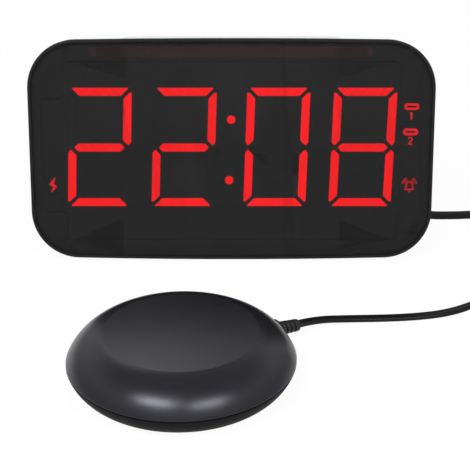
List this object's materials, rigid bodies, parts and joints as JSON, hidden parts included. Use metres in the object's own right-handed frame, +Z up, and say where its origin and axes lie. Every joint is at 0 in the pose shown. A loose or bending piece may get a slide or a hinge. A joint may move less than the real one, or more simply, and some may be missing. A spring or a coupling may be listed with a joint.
{
  "type": "bed shaker alarm clock",
  "caption": "Leaning black digital alarm clock with red seven-segment digits, a snooze bar and rear controls, wired to a round vibrating puck that goes under a pillow.",
  "frame": {"origin": "on the table, under the middle of the box round the clock, its rear knob and the puck", "axes": "+X to the right seen from the front, +Y to the clock's back, +Z up. The face looks toward -Y."},
  "size_m": [0.2553, 0.1831, 0.092],
  "materials": {
    "black_shell": "fine matt moulding",
    "bezel_black": "satin moulding",
    "smoked_lens": "smooth smoked acrylic",
    "display_black": "matt",
    "lit_red": "glowing diffuser",
    "unlit_red": "dark red diffuser",
    "led": "clear resin",
    "circuit_board": "solder mask",
    "component_black": "moulded resin",
    "snooze_grey": "satin",
    "button_black": "satin",
    "rubber_black": "matt",
    "steel": "zinc plated",
    "port_metal": "nickel plated",
    "port_tongue": "moulded",
    "brass": "plain",
    "speaker_black": "paper cone and steel basket",
    "cell_steel": "smooth",
    "puck_black": "soft matt moulding",
    "puck_lower": "soft matt moulding",
    "cord_black": "soft vinyl",
    "lead_red_black": "wire insulation"
  },
  "bodies": {
    "clock": {"front_bezel": "bezel_black", "display_lens": "smoked_lens", "light_strip": "unlit_red", "display_frame": "display_black", "lit_segments": "lit_red", "unlit_segments": "unlit_red", "sign_diffusers": "unlit_red", "display_leds": "led", "display_board": "circuit_board", "rear_shell": "black_shell", "rubber_feet": "rubber_black", "case_screws": "steel", "main_board": "circuit_board", "board_screws": "steel", "tact_switches": "component_black", "slide_switches": "steel", "dimmer_potentiometer": "steel", "usb_tongues": "port_tongue", "dc_jack": "component_black", "dc_jack_pin": "brass", "shaker_jack": "component_black", "speaker": "speaker_black", "snooze_board": "circuit_board", "snooze_switches": "component_black", "battery_holder": "component_black", "backup_cell": "cell_steel", "battery_contact": "brass", "shaker_top_shell": "puck_black", "shaker_bottom_shell": "puck_lower", "shaker_foot_ring": "rubber_black", "shaker_screws": "steel", "motor_case": "steel", "motor_clamp": "steel", "motor_leads": "lead_red_black", "strain_relief": "cord_black", "shaker_plug": "component_black", "plug_tip": "port_metal", "shaker_cord_front": "cord_black", "shaker_cord_coil": "cord_black", "shaker_cord_rear": "cord_black", "usb_port_1": "port_metal", "usb_port_2": "port_metal"},
    "snooze_bar": {"snooze_bar": "snooze_grey"},
    "time_button": {"time_button": "button_black"},
    "alarm_1_button": {"alarm_1_button": "button_black"},
    "alarm_2_button": {"alarm_2_button": "button_black"},
    "minus_button": {"minus_button": "button_black"},
    "plus_button": {"plus_button": "button_black"},
    "alarm_mode_knob": {"alarm_mode_knob": "button_black"},
    "volume_knob": {"volume_knob": "button_black"},
    "dimmer_knob": {"dimmer_knob": "button_black"},
    "battery_door": {"battery_door": "black_shell"},
    "rotor": {"motor_shaft": "steel", "eccentric_weight": "brass"}
  },
  "joints": [
    {"name": "snooze_press", "type": "slide", "parent": "clock", "child": "snooze_bar", "axis": [0, 0, -1], "range_m": [0, 0.0012], "stiffness_N_per_m": 300, "springref_m": -0.002},
    {"name": "time_press", "type": "slide", "parent": "clock", "child": "time_button", "axis": [0, -1, 0], "range_m": [0, 0.0008], "stiffness_N_per_m": 400, "springref_m": -0.0006},
    {"name": "alarm_1_press", "type": "slide", "parent": "clock", "child": "alarm_1_button", "axis": [0, -1, 0], "range_m": [0, 0.0008], "stiffness_N_per_m": 400, "springref_m": -0.0006},
    {"name": "alarm_2_press", "type": "slide", "parent": "clock", "child": "alarm_2_button", "axis": [0, -1, 0], "range_m": [0, 0.0008], "stiffness_N_per_m": 400, "springref_m": -0.0006},
    {"name": "minus_press", "type": "slide", "parent": "clock", "child": "minus_button", "axis": [0, -1, 0], "range_m": [0, 0.0008], "stiffness_N_per_m": 400, "springref_m": -0.0006},
    {"name": "plus_press", "type": "slide", "parent": "clock", "child": "plus_button", "axis": [0, -1, 0], "range_m": [0, 0.0008], "stiffness_N_per_m": 400, "springref_m": -0.0006},
    {"name": "alarm_mode_slide", "type": "slide", "parent": "clock", "child": "alarm_mode_knob", "axis": [1, 0, 0], "range_m": [-0.002, 0.002]},
    {"name": "volume_slide", "type": "slide", "parent": "clock", "child": "volume_knob", "axis": [1, 0, 0], "range_m": [-0.002, 0.002]},
    {"name": "dimmer_turn", "type": "hinge", "parent": "clock", "child": "dimmer_knob", "pos_m": [0.054, 0.08355, 0.0355], "axis": [0, 1, 0], "range_deg": [-135, 135]},
    {"name": "battery_door_slide", "type": "slide", "parent": "clock", "child": "battery_door", "axis": [0, 1, 0], "range_m": [0, 0.014]},
    {"name": "rotor_spin", "type": "hinge", "parent": "clock", "child": "rotor", "pos_m": [-0.01382, -0.04876, 0.0115], "axis": [-0.8192, -0.5736, 0], "continuous": true}
  ]
}
